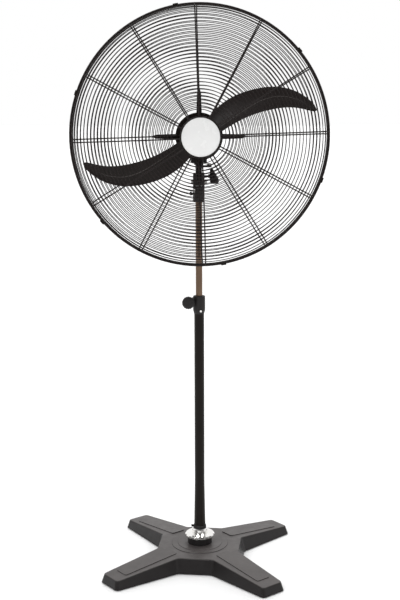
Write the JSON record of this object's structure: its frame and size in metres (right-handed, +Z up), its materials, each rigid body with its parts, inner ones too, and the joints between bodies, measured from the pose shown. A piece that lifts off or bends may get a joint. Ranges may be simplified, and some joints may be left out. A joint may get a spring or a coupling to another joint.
{
  "type": "pedestal fan",
  "caption": "Tall pedestal fan: round wire guard with a curved two-wing blade and plain badge, tilting oscillating motor head, telescopic pole, cast cross base.",
  "frame": {"origin": "on the floor, on the axis of the pole, at the middle of the bounding box", "axes": "+Z up along the pole, the fan blows towards -Y, +X to the right of someone facing the fan"},
  "size_m": [0.7999, 0.65, 1.83],
  "materials": {
    "cast_base": "satin brown-grey coating",
    "rubber": "matt",
    "black_paint": "satin black coating",
    "wire": "satin black coating on wire",
    "chrome": "bright plating",
    "bronze_tube": "bronze-brown metallic tube",
    "black_plastic": "fine moulded texture",
    "blade_black": "satin near-black",
    "motor_black": "satin black coating on castings",
    "steel": "bare and zinc plated steel",
    "copper": "enamelled copper wire",
    "bronze_bush": "sintered bronze",
    "nylon": "natural moulded nylon",
    "badge_white": "plain white gloss"
  },
  "bodies": {
    "base": {"base_casting": "cast_base", "base_feet": "rubber", "base_fasteners": "steel", "base_collar": "black_plastic", "pole_ferrule": "chrome", "pole_ring": "black_plastic", "ring_screw": "black_paint", "outer_pole": "black_paint", "guide_bush": "black_plastic", "height_clamp": "black_plastic", "clamp_rivet": "chrome"},
    "lock_nut": {"lock_nut": "chrome"},
    "height_knob": {"height_knob": "black_plastic"},
    "mast": {"inner_pole": "bronze_tube"},
    "socket": {"neck_socket": "motor_black", "socket_screw": "chrome", "tilt_bolt": "steel", "tilt_nut": "steel"},
    "thumb_screw": {"thumb_screw": "black_plastic"},
    "tilt_knob": {"tilt_knob": "black_plastic", "tilt_lock_bolt": "black_paint"},
    "neck": {"neck_column": "motor_black", "spindle_clip": "steel", "lug_pin": "steel"},
    "link": {"link_arm": "steel"},
    "head": {"motor_front_shell": "motor_black", "motor_rear_shell": "motor_black", "motor_bolts": "black_paint", "shaft_bearings": "steel", "stator_core": "steel", "stator_windings": "copper", "gear_case": "motor_black", "gear_cover": "motor_black", "switch_body": "black_plastic", "cord_gland": "black_plastic", "capacitor": "black_plastic", "motor_yoke": "motor_black", "yoke_bush": "bronze_bush", "guard_spider": "black_paint", "rear_guard_ribs": "wire", "rear_guard_rings": "wire", "rear_guard_hoop": "wire", "front_guard_ribs": "wire", "front_guard_rings": "wire", "front_guard_hoop": "wire", "guard_clips": "black_paint", "clip_screws": "steel", "front_centre_plate": "black_paint", "badge": "badge_white"},
    "rotor": {"motor_shaft": "steel", "rotor_core": "steel", "worm": "steel", "fan_blade": "blade_black", "blade_hub": "steel", "blade_nut": "steel"},
    "reduction": {"reduction_gear": "nylon"},
    "crank": {"output_gear": "nylon", "crank_disc": "steel"},
    "clutch_knob": {"clutch_knob": "black_plastic"},
    "speed_knob": {"speed_knob": "black_plastic"}
  },
  "joints": [
    {"name": "lock_nut_turn", "type": "hinge", "parent": "base", "child": "lock_nut", "pos_m": [0, 0, 0.086], "axis": [0, 0, 1], "range_deg": [0, 180]},
    {"name": "height_knob_turn", "type": "hinge", "parent": "base", "child": "height_knob", "pos_m": [-0.036, -0.025, 0.892], "axis": [0, -1, 0], "range_deg": [0, 360]},
    {"name": "height_slide", "type": "slide", "parent": "base", "child": "mast", "axis": [0, 0, 1], "range_m": [-0.1, 0.2]},
    {"name": "head_swivel", "type": "hinge", "parent": "mast", "child": "socket", "pos_m": [0, 0, 1.24], "axis": [0, 0, 1], "range_deg": [-180, 180]},
    {"name": "thumb_screw_turn", "type": "hinge", "parent": "socket", "child": "thumb_screw", "pos_m": [-0.025, 0, 1.247], "axis": [-1, 0, 0], "range_deg": [0, 360]},
    {"name": "head_tilt", "type": "hinge", "parent": "socket", "child": "neck", "pos_m": [0, 0, 1.285], "axis": [-1, 0, 0], "range_deg": [-8, 25]},
    {"name": "tilt_knob_turn", "type": "hinge", "parent": "socket", "child": "tilt_knob", "pos_m": [0.04, 0, 1.303], "axis": [1, 0, 0], "range_deg": [0, 180]},
    {"name": "oscillation", "type": "hinge", "parent": "neck", "child": "head", "pos_m": [0, 0, 1.35], "axis": [0, 0, 1], "range_deg": [-45, 45]},
    {"name": "link_swing", "type": "hinge", "parent": "neck", "child": "link", "pos_m": [0.034, 0, 1.34], "axis": [0, 0, 1], "range_deg": [-43, 43]},
    {"name": "fan_spin", "type": "hinge", "parent": "head", "child": "rotor", "pos_m": [0, -0.13, 1.43], "axis": [0, -1, 0], "continuous": true},
    {"name": "reduction_spin", "type": "hinge", "parent": "head", "child": "reduction", "pos_m": [0.0245, 0.11, 1.43], "axis": [0, 0, 1], "continuous": true},
    {"name": "crank_spin", "type": "hinge", "parent": "head", "child": "crank", "pos_m": [0, 0.12731, 1.35], "axis": [0, 0, 1], "continuous": true},
    {"name": "clutch_pull", "type": "slide", "parent": "head", "child": "clutch_knob", "axis": [0, 0, 1], "range_m": [0, 0.008]},
    {"name": "speed_turn", "type": "hinge", "parent": "head", "child": "speed_knob", "pos_m": [-0.02, 0.13, 1.47], "axis": [0, 1, 0], "range_deg": [0, 180]}
  ],
  "couplings": [
    {"joint": "link_swing", "follows": "oscillation", "ratio": 0.95},
    {"joint": "reduction_spin", "follows": "fan_spin", "ratio": -0.041667},
    {"joint": "crank_spin", "follows": "fan_spin", "ratio": 0.0083333}
  ]
}
